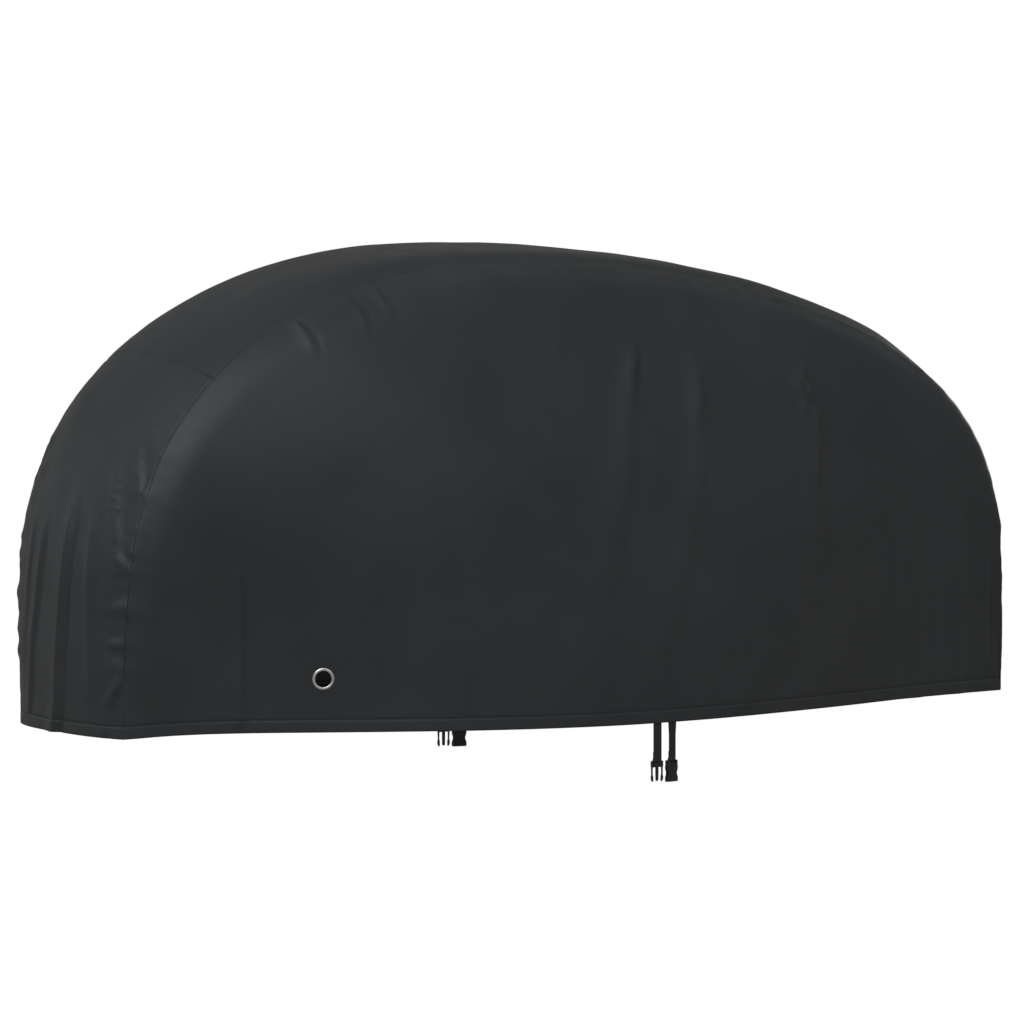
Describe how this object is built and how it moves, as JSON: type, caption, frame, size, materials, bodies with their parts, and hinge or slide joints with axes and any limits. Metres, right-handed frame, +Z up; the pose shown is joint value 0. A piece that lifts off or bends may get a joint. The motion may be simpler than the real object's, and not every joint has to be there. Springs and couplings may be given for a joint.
{
  "type": "motorcycle cover",
  "caption": "Fitted dark cloth cover for a motorcycle: hollow, a strip over the middle between D-shaped side panels, low metal eyelets and hanging buckle straps.",
  "frame": {"origin": "under the top, on the inner face of the strip's middle at its highest part, where the covered motorcycle holds the cover up", "axes": "+X back from the front hem to the rear hem, +Y to the right side, +Z up"},
  "size_m": [2.745, 1.1094, 1.3721],
  "materials": {
    "cover_cloth": "tightly woven polyester with a matte coating, charcoal black",
    "eyelet_steel": "bright plated steel, rolled flange",
    "strap_webbing": "black woven polypropylene webbing",
    "buckle_moulding": "black moulded acetal, satin"
  },
  "bodies": {
    "root": {"front_panel": "cover_cloth", "top_panel": "cover_cloth", "side_panel_left": "cover_cloth", "side_panel_right": "cover_cloth", "eyelet_strip_left": "cover_cloth", "eyelet_strip_right": "cover_cloth", "eyelet_left": "eyelet_steel", "eyelet_right": "eyelet_steel", "strap_front_left": "strap_webbing", "strap_rear_left": "strap_webbing", "strap_front_right": "strap_webbing", "strap_rear_right": "strap_webbing", "buckle_plug_left": "buckle_moulding", "buckle_plug_right": "buckle_moulding", "buckle_socket_left": "buckle_moulding", "buckle_socket_right": "buckle_moulding"}
  },
  "joints": []
}
